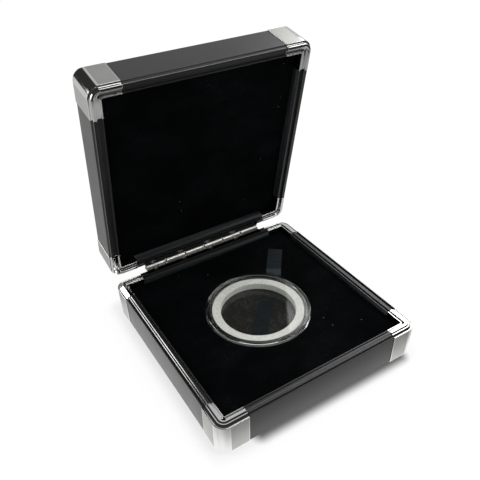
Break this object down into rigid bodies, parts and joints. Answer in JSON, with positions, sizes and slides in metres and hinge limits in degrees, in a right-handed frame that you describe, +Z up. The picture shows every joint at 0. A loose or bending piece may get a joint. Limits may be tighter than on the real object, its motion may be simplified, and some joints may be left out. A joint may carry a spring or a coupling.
{
  "type": "coin display case",
  "caption": "Square hinged case with black metal rails, bright rounded corners and velvet pads; a round recess holds a clear coin capsule with a white foam ring and a lifting ribbon.",
  "frame": {"origin": "middle of the base's underside, on the surface that the case stands on", "axes": "+Z up, -Y towards the front of the base, +X to the right along the hinge pin; the lid is hinged at +Y"},
  "size_m": [0.0926, 0.1081, 0.1098],
  "materials": {
    "rail": "satin black anodised",
    "corner": "satin faces with polished rounded edge and stepped rim",
    "panel": "matt black fine-grained film on board",
    "velvet": "black velvet over a light pad",
    "ribbon": "dark satin ribbon",
    "capsule": "clear polished plastic",
    "foam_ring": "white closed-cell foam",
    "hinge": "nickel plated",
    "pin": "drawn wire",
    "screw": "nickel plated"
  },
  "bodies": {
    "base": {"base_front_rail": "rail", "base_right_rail": "rail", "base_rear_rail": "rail", "base_left_rail": "rail", "base_corner_front_left": "corner", "base_corner_front_right": "corner", "base_corner_rear_right": "corner", "base_corner_rear_left": "corner", "base_panel": "panel", "base_pad_floor": "velvet", "base_pad": "velvet", "lift_ribbon": "ribbon", "hinge_leaf_base": "hinge", "hinge_screws_base": "screw", "hinge_pin": "pin"},
    "lid": {"lid_front_rail": "rail", "lid_right_rail": "rail", "lid_rear_rail": "rail", "lid_left_rail": "rail", "lid_corner_front_left": "corner", "lid_corner_front_right": "corner", "lid_corner_rear_right": "corner", "lid_corner_rear_left": "corner", "lid_panel": "panel", "lid_pad": "velvet", "hinge_leaf_lid": "hinge", "hinge_screws_lid": "screw"},
    "capsule": {"capsule_dish": "capsule", "capsule_ring": "foam_ring"},
    "capsule_lid": {"capsule_cover": "capsule"}
  },
  "joints": [
    {"name": "lid_hinge", "type": "hinge", "parent": "base", "child": "lid", "pos_m": [0, 0.0476, 0.0148], "axis": [1, 0, 0], "range_deg": [-100.8, 79.2]},
    {"name": "capsule_lift", "type": "slide", "parent": "base", "child": "capsule", "axis": [0, 0, 1], "range_m": [0, 0.0035]},
    {"name": "capsule_open", "type": "slide", "parent": "capsule", "child": "capsule_lid", "axis": [0, 0, 1], "range_m": [0, 0.0018]}
  ]
}
